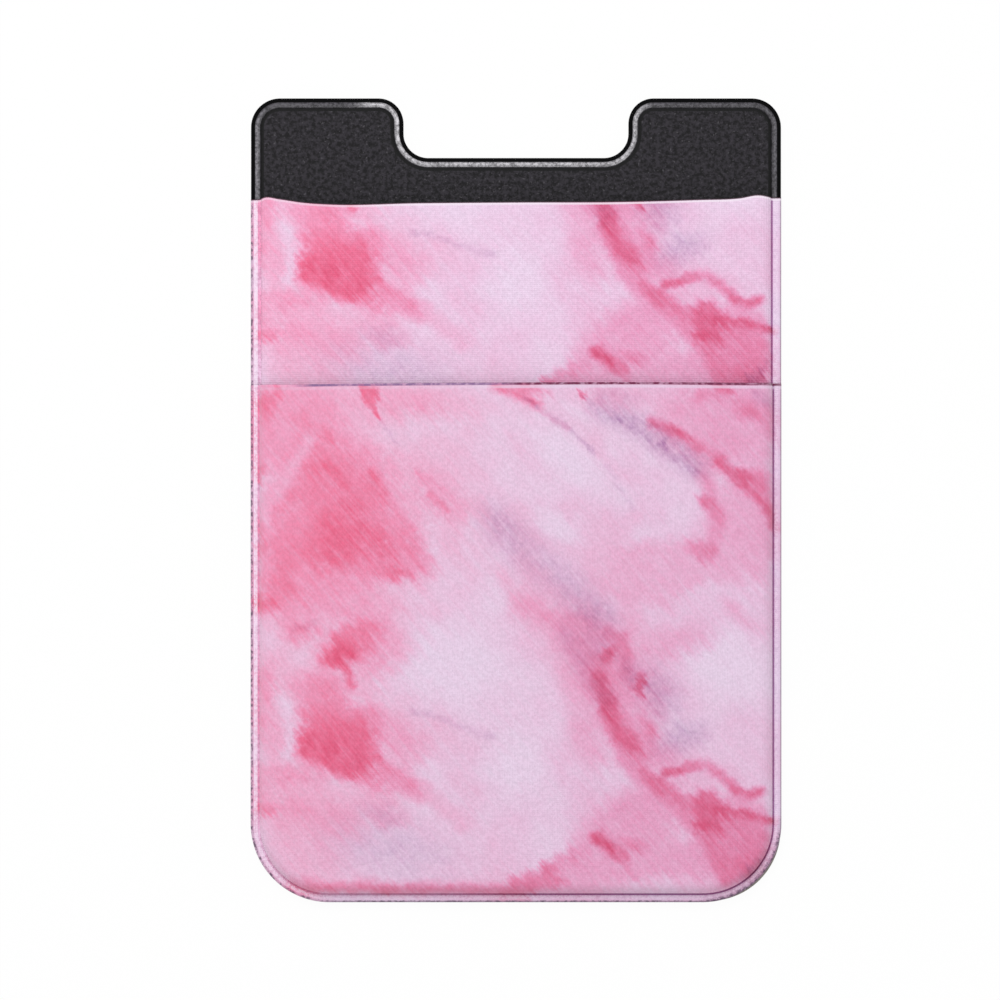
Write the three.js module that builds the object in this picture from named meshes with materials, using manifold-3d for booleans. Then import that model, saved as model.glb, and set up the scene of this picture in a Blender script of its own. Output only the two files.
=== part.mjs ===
// A stick-on card holder for the back of a phone. A black leather-look back panel with a
// thumb notch carries two pockets of printed stretch fabric, one over the other, and all
// three are welded together round their edge. Behind the panel lie a sheet of adhesive and
// the paper liner that covers it until the holder is stuck on.
//
// Units are millimetres. X runs across the holder, Y runs up it towards the thumb notch and
// Z comes out of its face. The origin is the middle of the liner's back, on which it lies.
import * as THREE from "three";
import { mergeVertices } from "three/addons/utils/BufferGeometryUtils.js";
import Module from "manifold-3d";

const wasm = await Module();
wasm.setup();

// The bank card that a pocket is made for, and the room left over its face.
const CARD_THICKNESS = 0.76;
const CARD_CLEARANCE = 0.14;

// The holder's outline.
const HOLDER_WIDTH = 64;
const HOLDER_LENGTH = 97;
const TOP_CORNER_RADIUS = 3.5;
const BOTTOM_CORNER_RADIUS = 9.5;

// The adhesive and its liner are cut a little squarer than the fabric at the lower right
// corner, where a sliver of them this wide shows past the weld.
const BACKING_SLIVER = 0.36;

// The thumb notch in the panel's top edge.
const NOTCH_WIDTH = 27.2;
const NOTCH_DEPTH = 7.2;
const NOTCH_MOUTH_RADIUS = 3;
const NOTCH_FLOOR_RADIUS = 3;

// The layers, from the back forwards.
const LINER_THICKNESS = 0.1;
const ADHESIVE_THICKNESS = 0.15;
const PANEL_THICKNESS = 0.8;
const FABRIC_THICKNESS = 0.45;
const PRESSED_FABRIC = 0.3;

// The weld channel that is pressed into the panel's face round its bare top.
const LIP_WIDTH = 0.5;
const CHANNEL_WIDTH = 0.75;
const CHANNEL_DEPTH = 0.2;
const CHANNEL_WALL = 0.15;
const EDGE_ROUNDING = 0.14;

// The pockets' mouths: how far the rear one lies below the notch's floor and the front one
// below it, how far each mouth's middle sags below its ends, and how quickly it climbs.
const NOTCH_TO_REAR_MOUTH = 5;
const REAR_TO_FRONT_MOUTH = 22.4;
const REAR_MOUTH_SAG = 0.5;
const FRONT_MOUTH_SAG = 0.12;
const MOUTH_SAG_POWER = 6;

// The weld round the pockets: the front pocket's pressed rim, the crease at the rim's inner
// side, the shoulder that the fabric climbs from there, and the wall of that shoulder.
const FRONT_RIM_WIDTH = 1.1;
const CREASE_WIDTH = 0.3;
const CREASE_DEPTH = 0.12;
const SHOULDER_WIDTH = 1.1;
const SHOULDER_WALL = 0.3;
const NEST_CLEARANCE = 0.05;

// How finely the curves are faceted, and how far a cutting solid passes what it cuts.
const CORNER_STEPS = 10;
const NOTCH_STEPS = 6;
const SHOULDER_STEPS = 4;
const SAG_STEPS = 32;
const OVERSHOOT = 2;

// Heights of the layers' faces.
const adhesiveBack = LINER_THICKNESS;
const panelBack = adhesiveBack + ADHESIVE_THICKNESS;
const panelFace = panelBack + PANEL_THICKNESS;
const rearRimFace = panelFace + PRESSED_FABRIC;
const frontRimFace = rearRimFace + PRESSED_FABRIC;
const cardRoom = CARD_THICKNESS + CARD_CLEARANCE;
const rearRoof = panelFace + cardRoom;
const rearFace = rearRoof + FABRIC_THICKNESS;
const frontRoof = rearFace + cardRoom;
const frontFace = frontRoof + FABRIC_THICKNESS;

// Places along the holder.
const topEdge = HOLDER_LENGTH / 2;
const bottomEdge = -HOLDER_LENGTH / 2;
const notchFloor = topEdge - NOTCH_DEPTH;
const rearMouth = notchFloor - NOTCH_TO_REAR_MOUTH;
const frontMouth = rearMouth - REAR_TO_FRONT_MOUTH;

// The front pocket wraps the rear one's shoulder, so the rear rim is wider by one wall.
const rearRimWidth = FRONT_RIM_WIDTH + SHOULDER_WALL + NEST_CLEARANCE;
const plateauInset = rearRimWidth + SHOULDER_WIDTH;

// A corner's radius grows by more than the sliver, which is measured on its diagonal.
const backingCornerRadius = BOTTOM_CORNER_RADIUS - BACKING_SLIVER / (Math.SQRT2 - 1);

// The notch's rounded corners share the wall between them.
const notchMouthRadius = Math.min(NOTCH_MOUTH_RADIUS, NOTCH_DEPTH / 2);
const notchFloorRadius = Math.min(NOTCH_FLOOR_RADIUS, NOTCH_DEPTH / 2);

const BLACK_LEATHERETTE = { color: 0x302e32, roughness: 0.6, metalness: 0 };
const REAR_PRINT = { color: 0xe8b4cf, roughness: 0.85, metalness: 0 };
const FRONT_PRINT = { color: 0xe6a8c8, roughness: 0.85, metalness: 0 };
const ADHESIVE = { color: 0xe9e4d8, roughness: 0.4, metalness: 0 };
const LINER_PAPER = { color: 0xd9cfbd, roughness: 0.55, metalness: 0 };

// Points along a quarter turn of a circle, from one angle to another in degrees.
function quarter(x, y, radius, from, to, steps) {
  const [a, b] = [from, to].map(THREE.MathUtils.degToRad);
  return new THREE.EllipseCurve(x, y, radius, radius, a, b, b < a).getPoints(steps);
}

// The bottom two corners of the outline, taken in by an inset, from left to right.
function bottomCorners(inset, leftRadius, rightRadius) {
  const leftX = leftRadius - HOLDER_WIDTH / 2;
  const rightX = HOLDER_WIDTH / 2 - rightRadius;
  return [
    ...quarter(leftX, bottomEdge + leftRadius, leftRadius - inset, 180, 270, CORNER_STEPS),
    ...quarter(rightX, bottomEdge + rightRadius, rightRadius - inset, 270, 360, CORNER_STEPS),
  ];
}

// The holder's whole outline with its thumb notch, taken in by an inset. Outside corners
// lose the inset from their radius and the notch's inside corners gain it.
function holderOutline(inset = 0, rightRadius = BOTTOM_CORNER_RADIUS) {
  const cornerX = HOLDER_WIDTH / 2 - TOP_CORNER_RADIUS;
  const cornerY = topEdge - TOP_CORNER_RADIUS;
  const mouthX = NOTCH_WIDTH / 2 + notchMouthRadius;
  const mouthY = topEdge - notchMouthRadius;
  const floorX = NOTCH_WIDTH / 2 - notchFloorRadius;
  const floorY = notchFloor + notchFloorRadius;
  const corner = TOP_CORNER_RADIUS - inset;
  const mouth = notchMouthRadius - inset;
  const floor = notchFloorRadius + inset;
  return [
    ...bottomCorners(inset, BOTTOM_CORNER_RADIUS, rightRadius),
    ...quarter(cornerX, cornerY, corner, 0, 90, NOTCH_STEPS),
    ...quarter(mouthX, mouthY, mouth, 90, 180, NOTCH_STEPS),
    ...quarter(floorX, floorY, floor, 0, -90, NOTCH_STEPS),
    ...quarter(-floorX, floorY, floor, -90, -180, NOTCH_STEPS),
    ...quarter(-mouthX, mouthY, mouth, 0, 90, NOTCH_STEPS),
    ...quarter(-cornerX, cornerY, corner, 90, 180, NOTCH_STEPS),
  ];
}

// The outline of a pocket's sheet before its mouth is cut, open past the mouth at the top.
function sheetOutline(inset, top) {
  const side = HOLDER_WIDTH / 2 - inset;
  return [
    ...bottomCorners(inset, BOTTOM_CORNER_RADIUS, BOTTOM_CORNER_RADIUS),
    new THREE.Vector2(side, top),
    new THREE.Vector2(-side, top),
  ];
}

// A closed solid through rings of points: each step of the section is [inset, height], from
// the bottom face to the top one, and outlineAt gives the ring for an inset.
function loft(outlineAt, section) {
  const rings = section.map(([inset, height]) =>
    outlineAt(inset).map((p) => new THREE.Vector3(p.x, p.y, height)),
  );
  const count = rings[0].length;
  const index = [];
  for (let ring = 0; ring < rings.length - 1; ring++) {
    for (let i = 0; i < count; i++) {
      const [a, b] = [ring * count + i, ring * count + ((i + 1) % count)];
      index.push(a, b, b + count, a, b + count, a + count);
    }
  }
  const top = (rings.length - 1) * count;
  const faces = THREE.ShapeUtils.triangulateShape(outlineAt(section[0][0]), []);
  const lid = THREE.ShapeUtils.triangulateShape(outlineAt(section.at(-1)[0]), []);
  faces.forEach(([a, b, c]) => index.push(a, c, b));
  lid.forEach(([a, b, c]) => index.push(top + a, top + b, top + c));
  return new THREE.BufferGeometry().setFromPoints(rings.flat()).setIndex(index);
}

// A flat blank of one thickness.
function blank(points, thickness, back) {
  const settings = { depth: thickness, bevelEnabled: false };
  return new THREE.ExtrudeGeometry(new THREE.Shape(points), settings).translate(0, 0, back);
}

// A closed three.js geometry as a solid that can be cut and joined.
function solid(geometry) {
  const bare = geometry.clone();
  bare.deleteAttribute("normal");
  bare.deleteAttribute("uv");
  const merged = mergeVertices(bare, 1e-5);
  return new wasm.Manifold(
    new wasm.Mesh({
      numProp: 3,
      vertProperties: new Float32Array(merged.attributes.position.array),
      triVerts: new Uint32Array(merged.index.array),
    }),
  );
}

// A solid as a three.js geometry again, with flat shading.
function geometryOf(cut) {
  const { vertProperties, triVerts } = cut.getMesh();
  const joined = new THREE.BufferGeometry()
    .setAttribute("position", new THREE.BufferAttribute(vertProperties, 3))
    .setIndex(new THREE.BufferAttribute(triVerts, 1));
  const flat = joined.toNonIndexed();
  flat.computeVertexNormals();
  return flat;
}

// The rim's shoulder as [inset, height] steps: a quarter of an ellipse that leaves the foot
// upright and lies level where it meets the pocket's face.
function shoulder(foot, base, plateau, face) {
  return Array.from({ length: SHOULDER_STEPS + 1 }, (_, i) => {
    const turn = (i / SHOULDER_STEPS) * (Math.PI / 2);
    return [foot + (plateau - foot) * (1 - Math.cos(turn)), base + (face - base) * Math.sin(turn)];
  });
}

// What is cut away above a mouth. Its lower edge sags evenly and climbs at both ends.
function aboveMouth(mouth, sag, rimWidth) {
  const reach = HOLDER_WIDTH / 2 - rimWidth;
  const far = HOLDER_WIDTH / 2 + OVERSHOOT;
  const edge = Array.from({ length: SAG_STEPS + 1 }, (_, i) => {
    const share = (2 * i) / SAG_STEPS - 1;
    return new THREE.Vector2(share * reach, mouth - sag * (1 - Math.abs(share) ** MOUTH_SAG_POWER));
  });
  const points = [
    new THREE.Vector2(-far, mouth),
    ...edge,
    new THREE.Vector2(far, mouth),
    new THREE.Vector2(far, HOLDER_LENGTH),
    new THREE.Vector2(-far, HOLDER_LENGTH),
  ];
  return solid(blank(points, frontFace + 2 * OVERSHOOT, -OVERSHOOT));
}

// One pocket: a sheet welded down along its rim and raised inside it, with room for a card
// beneath it and its mouth at the top.
function pocket({ rimWidth, base, rimFace, roof, face, mouth, sag }) {
  const sheetTop = mouth + plateauInset + OVERSHOOT;
  const outside = [
    [0, base],
    [0, rimFace - EDGE_ROUNDING],
    [EDGE_ROUNDING, rimFace],
    [rimWidth - CREASE_WIDTH, rimFace],
    [rimWidth - CREASE_WIDTH / 2, rimFace - CREASE_DEPTH],
    ...shoulder(rimWidth, rimFace, plateauInset, face),
  ];
  const innerFoot = rimWidth + SHOULDER_WALL;
  const room = [
    [innerFoot, base - OVERSHOOT],
    ...shoulder(innerFoot, base, plateauInset + SHOULDER_WALL, roof),
  ];
  return solid(loft((inset) => sheetOutline(inset, sheetTop), outside))
    .subtract(solid(loft((inset) => sheetOutline(inset, sheetTop + OVERSHOOT), room)))
    .subtract(aboveMouth(mouth, sag, rimWidth));
}

// The back panel, with its edge eased and the weld channel pressed round its bare top.
function backPanel() {
  const plain = [
    [0, panelBack],
    [0, panelFace - EDGE_ROUNDING],
    [EDGE_ROUNDING, panelFace],
  ];
  const channelFloor = panelFace - CHANNEL_DEPTH;
  const channelEnd = LIP_WIDTH + CHANNEL_WIDTH;
  const pressed = [
    ...plain,
    [LIP_WIDTH, panelFace],
    [LIP_WIDTH + CHANNEL_WALL, channelFloor],
    [channelEnd - CHANNEL_WALL, channelFloor],
    [channelEnd, panelFace],
  ];
  const coveredLength = rearMouth - bottomEdge + OVERSHOOT;
  const covered = new THREE.BoxGeometry(HOLDER_WIDTH + OVERSHOOT, coveredLength, 2 * frontFace);
  covered.translate(0, rearMouth - coveredLength / 2, 0);
  const plainBottom = solid(loft(holderOutline, plain)).intersect(solid(covered));
  return solid(loft(holderOutline, pressed)).add(plainBottom);
}

// A named sub-part.
function piece(name, geometry, finish) {
  const mesh = new THREE.Mesh(geometry, new THREE.MeshStandardMaterial(finish));
  mesh.name = name;
  return mesh;
}

const backing = holderOutline(0, backingCornerRadius);
const rearPocket = pocket({
  rimWidth: rearRimWidth,
  base: panelFace,
  rimFace: rearRimFace,
  roof: rearRoof,
  face: rearFace,
  mouth: rearMouth,
  sag: REAR_MOUTH_SAG,
});
const frontPocket = pocket({
  rimWidth: FRONT_RIM_WIDTH,
  base: rearRimFace,
  rimFace: frontRimFace,
  roof: frontRoof,
  face: frontFace,
  mouth: frontMouth,
  sag: FRONT_MOUTH_SAG,
});

const cardHolder = new THREE.Group();
cardHolder.add(
  piece("release_liner", blank(backing, LINER_THICKNESS, 0), LINER_PAPER),
  piece("adhesive_sheet", blank(backing, ADHESIVE_THICKNESS, adhesiveBack), ADHESIVE),
  piece("back_panel", geometryOf(backPanel()), BLACK_LEATHERETTE),
  piece("rear_pocket", geometryOf(rearPocket), REAR_PRINT),
  piece("front_pocket", geometryOf(frontPocket), FRONT_PRINT),
);

export default cardHolder;
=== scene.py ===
"""The looks of the stick-on card holder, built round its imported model.

Lengths are in millimetres until a mesh is made. X runs across the holder, Y runs up it
towards the thumb notch and Z comes out of its face.
"""
import math

import bpy
import numpy as np
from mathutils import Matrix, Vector


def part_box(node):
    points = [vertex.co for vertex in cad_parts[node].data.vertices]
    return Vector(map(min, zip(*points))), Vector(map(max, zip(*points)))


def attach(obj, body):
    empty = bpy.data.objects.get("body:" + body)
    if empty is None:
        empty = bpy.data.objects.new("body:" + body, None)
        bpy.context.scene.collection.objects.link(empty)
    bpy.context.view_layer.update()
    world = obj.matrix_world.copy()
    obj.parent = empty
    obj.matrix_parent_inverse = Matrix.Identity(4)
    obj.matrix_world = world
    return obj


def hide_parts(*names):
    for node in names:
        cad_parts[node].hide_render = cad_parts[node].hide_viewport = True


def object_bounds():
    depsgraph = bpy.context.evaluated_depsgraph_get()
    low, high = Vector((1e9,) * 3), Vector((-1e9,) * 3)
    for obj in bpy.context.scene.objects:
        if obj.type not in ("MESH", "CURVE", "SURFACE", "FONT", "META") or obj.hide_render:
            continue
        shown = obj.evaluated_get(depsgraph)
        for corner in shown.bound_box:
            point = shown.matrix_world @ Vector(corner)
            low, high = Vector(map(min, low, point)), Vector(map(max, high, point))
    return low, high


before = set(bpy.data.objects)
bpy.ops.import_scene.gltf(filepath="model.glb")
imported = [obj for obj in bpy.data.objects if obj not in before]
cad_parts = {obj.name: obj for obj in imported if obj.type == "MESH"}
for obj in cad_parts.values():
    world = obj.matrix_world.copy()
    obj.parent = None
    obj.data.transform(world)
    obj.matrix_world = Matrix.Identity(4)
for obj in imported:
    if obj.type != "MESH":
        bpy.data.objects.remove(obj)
cad_low, cad_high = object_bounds()

MM = 0.001

# The holder's outline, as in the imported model.
TOP_CORNER = 3.5
BOTTOM_CORNER = 9.5
BACKING_CORNER = 8.63
NOTCH_HALF = 13.6
NOTCH_CORNER = 3.0
NOTCH_DEPTH = 7.2

# The layers' heights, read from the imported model.
WIDTH = (cad_high.x - cad_low.x) / MM
LENGTH = (cad_high.y - cad_low.y) / MM
TOP = LENGTH / 2
BOTTOM = -LENGTH / 2


def node_heights(node):
    """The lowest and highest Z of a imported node, in millimetres."""
    low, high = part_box(node)
    return low.z / MM, high.z / MM


LINER_BACK, LINER_FACE = node_heights("release_liner")
ADHESIVE_BACK, ADHESIVE_FACE = node_heights("adhesive_sheet")
PANEL_BACK, PANEL_FACE = node_heights("back_panel")
REAR_BASE, REAR_FACE = node_heights("rear_pocket")
FRONT_BASE, FRONT_FACE = node_heights("front_pocket")
PRESSED = FRONT_BASE - REAR_BASE
FABRIC = 0.45
SHOULDER_WALL = 0.3

# The cloth's fine knit: the widths of a wale and a course, and the courses' share of height.
WALE = 0.3
COURSE = 0.24
COURSE_SHARE = 0.6

# The weld round the edge: the front pocket's rim, and the rear one's, which is wider.
FRONT_RIM = 1.1
REAR_RIM = 1.25
PLATEAU = 2.55
PATCH_INSET = 3.0

# A rim's top, as heights over its face: the crest at these insets from the outer edge, then
# the groove at these insets from the rim's foot.
CREST = [(0.0, -0.1), (0.03, -0.04), (0.1, 0.0), (0.3, 0.01)]
GROOVE = [(-0.45, 0.015), (-0.25, 0.0), (-0.12, -0.04), (-0.04, -0.05)]

# A cut mouth is rounded off by this height over this length, and by this share on the rim.
MOUTH_DROP = 0.12
MOUTH_ROUND = 0.3
RIM_SHARE = 0.35

# The mouths, as points across the holder that a smooth curve joins.
REAR_MOUTH = [
    (-32.0, 36.25), (-30.9, 36.3), (-30.2, 36.5), (-28.6, 36.3), (-25.5, 35.85), (-22.5, 35.65),
    (-12.0, 35.8), (0.0, 35.9), (12.0, 35.95), (22.0, 36.2), (27.0, 36.4), (29.3, 36.75),
    (30.3, 36.6), (30.9, 36.5), (32.0, 36.5),
]
FRONT_MOUTH = [
    (-32.0, 13.85), (-28.0, 13.85), (-20.0, 13.95), (0.0, 14.1), (16.0, 14.15), (28.0, 14.05),
    (32.0, 14.05),
]

# How finely the meshes are divided.
ARC_STEPS = 28
NOTCH_ARC_STEPS = 16
STRAIGHT_STEP = 0.8
SHOULDER_STEPS = 9
NEAR_MOUTH = [0.0, 0.05, 0.11, 0.18, 0.27, 0.4, 0.6, 0.9, 1.3, 1.8, 2.5]


def linear(red, green, blue):
    """A colour that is written as it looks, 0 to 255, as the shader wants it."""
    shares = [value / 255 for value in (red, green, blue)]
    levels = [v / 12.92 if v < 0.0404 else ((v + 0.055) / 1.055) ** 2.4 for v in shares]
    return (*levels, 1.0)


# Outlines


def arc(x, y, radius, start, end, steps):
    """Points along an arc, both ends included, angles in degrees."""
    angles = np.radians(np.linspace(start, end, steps + 1))
    return np.column_stack([x + radius * np.cos(angles), y + radius * np.sin(angles)])


def joined(arcs, spacing):
    """A closed ring through arcs, with the straights between them divided by fixed shares."""
    points = []
    for here, following, divisions in zip(arcs, arcs[1:] + arcs[:1], spacing):
        points.append(here)
        shares = np.linspace(0, 1, divisions + 1)[1:-1, None]
        points.append(here[-1] + (following[0] - here[-1]) * shares)
    return np.vstack(points)


def holder_ring(inset, right_corner=BOTTOM_CORNER):
    """The holder's outline with its notch, taken in by an inset, anticlockwise."""
    side = WIDTH / 2
    lip = NOTCH_CORNER - inset
    bed = NOTCH_CORNER + inset
    corner = TOP_CORNER - inset
    bed_y = TOP - NOTCH_DEPTH + NOTCH_CORNER
    lip_y = TOP - NOTCH_CORNER
    arcs = [
        arc(BOTTOM_CORNER - side, BOTTOM + BOTTOM_CORNER, BOTTOM_CORNER - inset, 180, 270, ARC_STEPS),
        arc(side - right_corner, BOTTOM + right_corner, right_corner - inset, 270, 360, ARC_STEPS),
        arc(side - TOP_CORNER, TOP - TOP_CORNER, corner, 0, 90, NOTCH_ARC_STEPS),
        arc(NOTCH_HALF + NOTCH_CORNER, lip_y, lip, 90, 180, NOTCH_ARC_STEPS),
        arc(NOTCH_HALF - NOTCH_CORNER, bed_y, bed, 0, -90, NOTCH_ARC_STEPS),
        arc(NOTCH_CORNER - NOTCH_HALF, bed_y, bed, -90, -180, NOTCH_ARC_STEPS),
        arc(-NOTCH_HALF - NOTCH_CORNER, lip_y, lip, 0, 90, NOTCH_ARC_STEPS),
        arc(TOP_CORNER - side, TOP - TOP_CORNER, corner, 90, 180, NOTCH_ARC_STEPS),
    ]
    gaps = [
        WIDTH - 2 * BOTTOM_CORNER,
        LENGTH - BOTTOM_CORNER - TOP_CORNER,
        side - NOTCH_HALF - NOTCH_CORNER - TOP_CORNER,
        NOTCH_DEPTH - 2 * NOTCH_CORNER,
        2 * (NOTCH_HALF - NOTCH_CORNER),
        NOTCH_DEPTH - 2 * NOTCH_CORNER,
        side - NOTCH_HALF - NOTCH_CORNER - TOP_CORNER,
        LENGTH - BOTTOM_CORNER - TOP_CORNER,
    ]
    return joined(arcs, [max(2, round(gap / STRAIGHT_STEP)) for gap in gaps])


# Meshes


def ring_faces(rings, count, closed=True):
    """The quads between rings of count points each."""
    faces = []
    for ring in range(rings - 1):
        low, high = ring * count, (ring + 1) * count
        for i in range(count if closed else count - 1):
            j = (i + 1) % count
            faces.append((low + i, low + j, high + j, high + i))
    return faces


def make_piece(name, node, slot, points, faces, material, **attributes):
    """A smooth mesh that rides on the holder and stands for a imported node."""
    mesh = bpy.data.meshes.new(name)
    mesh.from_pydata((np.asarray(points) * MM).tolist(), [], faces)
    for key, values in attributes.items():
        layer = mesh.attributes.new(key, "FLOAT", "POINT")
        layer.data.foreach_set("value", np.asarray(values, np.float32))
    mesh.validate()
    mesh.shade_smooth()
    mesh.set_sharp_from_angle(angle=math.radians(50))
    mesh.materials.append(material)
    piece = bpy.data.objects.new(name, mesh)
    bpy.context.scene.collection.objects.link(piece)
    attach(piece, "root")
    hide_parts(node)
    return piece


def smooth(values, low, high):
    """A smooth step from 0 at low to 1 at high."""
    share = np.clip((values - low) / (high - low), 0, 1)
    return share * share * (3 - 2 * share)


# Node shorthand


def is_socket(value):
    return isinstance(value, bpy.types.NodeSocket)


def add(tree, kind, inputs=None, **settings):
    """A node with its settings made and its inputs set or linked."""
    node = tree.nodes.new(kind)
    for key, value in settings.items():
        setattr(node, key, value)
    for key, value in (inputs or {}).items():
        if is_socket(value):
            tree.links.new(value, node.inputs[key])
        else:
            node.inputs[key].default_value = value
    return node


def calc(tree, operation, a, b=0.0, clamp=False):
    return add(tree, "ShaderNodeMath", {0: a, 1: b}, operation=operation, use_clamp=clamp).outputs[0]


def blend(tree, share, a, b, mode="MIX"):
    node = add(tree, "ShaderNodeMix", {0: share, 6: a, 7: b}, data_type="RGBA", blend_type=mode)
    return node.outputs[2]


def ramp(tree, value, low, high, start=0.0, end=1.0):
    """A smooth step of a value, from start at low to end at high."""
    inputs = {0: value, 1: low, 2: high, 3: start, 4: end}
    return add(tree, "ShaderNodeMapRange", inputs, interpolation_type="SMOOTHSTEP").outputs[0]


def band(tree, value, low, high, soft):
    """1 between low and high, fading to 0 over a soft width outside them."""
    rising = ramp(tree, value, low - soft, low)
    return calc(tree, "MULTIPLY", rising, ramp(tree, value, high, high + soft, 1.0, 0.0))


def noise(tree, place, scale, detail=2.0, roughness=0.5):
    """Smooth noise with cells of about 1 / scale millimetres."""
    inputs = {"Vector": place, "Scale": scale, "Detail": detail, "Roughness": roughness}
    return add(tree, "ShaderNodeTexNoise", inputs).outputs


def attribute(tree, name):
    return add(tree, "ShaderNodeAttribute", attribute_name=name).outputs["Fac"]


def new_material(name):
    """A material with an empty tree, its shader, and the place on the piece in millimetres."""
    material = bpy.data.materials.new(name)
    material.use_nodes = True
    tree = material.node_tree
    shader = tree.nodes["Principled BSDF"]
    spot = add(tree, "ShaderNodeTexCoord").outputs["Object"]
    place = add(tree, "ShaderNodeVectorMath", {0: spot, 1: (1 / MM,) * 3}, operation="MULTIPLY")
    return material, tree, shader, place.outputs[0]


def bump(tree, height, distance, strength=1.0, normal=None):
    """A bump whose height of 1 is a distance in millimetres."""
    inputs = {"Height": height, "Distance": distance * MM, "Strength": strength}
    if normal:
        inputs["Normal"] = normal
    return add(tree, "ShaderNodeBump", inputs).outputs[0]


# Colours, written as they look

BLACK_FIELD = linear(26, 24, 28)
# Light flecks, partly the board's own speckle and partly painted glints.
FLECK_AND_GLINT = linear(88, 85, 90)
# The lip's black, also laid as painted shade at the channel's inner wall.
LIP_BLACK_AND_WALL_SHADE = linear(6, 6, 7)
# The glossy channel's reflection, painted as greys: lighter at the left edge and brightest in the notch.
CHANNEL_HIGHLIGHT = linear(84, 82, 87)
CHANNEL_LEFT_HIGHLIGHT = linear(118, 116, 121)
NOTCH_HIGHLIGHT = linear(178, 176, 180)
WELD_WHITE = linear(243, 226, 243)
WELD_LILAC = linear(224, 206, 232)
WELD_DARK = linear(96, 76, 98)
WELD_GREY = linear(150, 140, 156)
# Painted shade for the rim's crease.
CREASE_SHADE = (0.44, 0.26, 0.44, 1.0)
# A faint painted shade for the left side's crease.
FAINT_CREASE_SHADE = linear(196, 140, 172)
CUT_WHITE = linear(240, 228, 240)
# The cut's pale core, also brightened as painted highlight on the front mouth's edge.
CUT_PALE_AND_LIT = linear(228, 205, 228)
# Painted contact shadow at the pockets' mouths.
MOUTH_SHADOW_MAROON = linear(112, 38, 74)
MOUTH_SHADOW_BLACK = linear(52, 14, 30)
MOUTH_SHADOW_MAUVE = linear(138, 104, 146)
INSIDE_DARK = linear(74, 60, 78)
PAPER = linear(206, 194, 172)
GLUE = linear(176, 168, 158)


# The marbled print
#
# A pink ink and a grey one run over a lilac ground. A level of 0 is bare ground, 0.5 is a
# soft pink and 1 is red. Places are in millimetres in the front pocket's own frame.

PINKS = [
    (0.0, linear(229, 206, 229)), (0.2, linear(231, 192, 219)), (0.4, linear(234, 176, 206)),
    (0.6, linear(236, 156, 190)), (0.8, linear(235, 133, 168)), (1.0, linear(233, 110, 145)),
    (1.2, linear(226, 88, 124)),
]
GREY_INK = (0.5, 0.36, 0.56, 1.0)

# The print repeats up the cloth after this length, leaning by this share of X.
REPEAT = 58.0
REPEAT_LEAN = 0.035

# The pinks get cooler and deeper to the right, by this tint over this reach.
COOL_PINK = (0.86, 0.92, 1.0, 1.0)
COOLER = (0.035, -0.012, 0.0)

# The inks have run in streaks down to the right: their direction, size and reach.
STREAK_TURN = 130
STREAK_SIZE = (7.0, 1.0, 1.0)
HAIR_SIZE = (5.0, 0.36, 1.0)
STREAK_REACH = 4.0

# The strokes' outlines wander by two noises, each a scale, detail, roughness and reach.
WANDERS = [(0.2, 1.0, 0.5, 1.0), (0.9, 4.0, 0.65, 1.4)]

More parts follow.
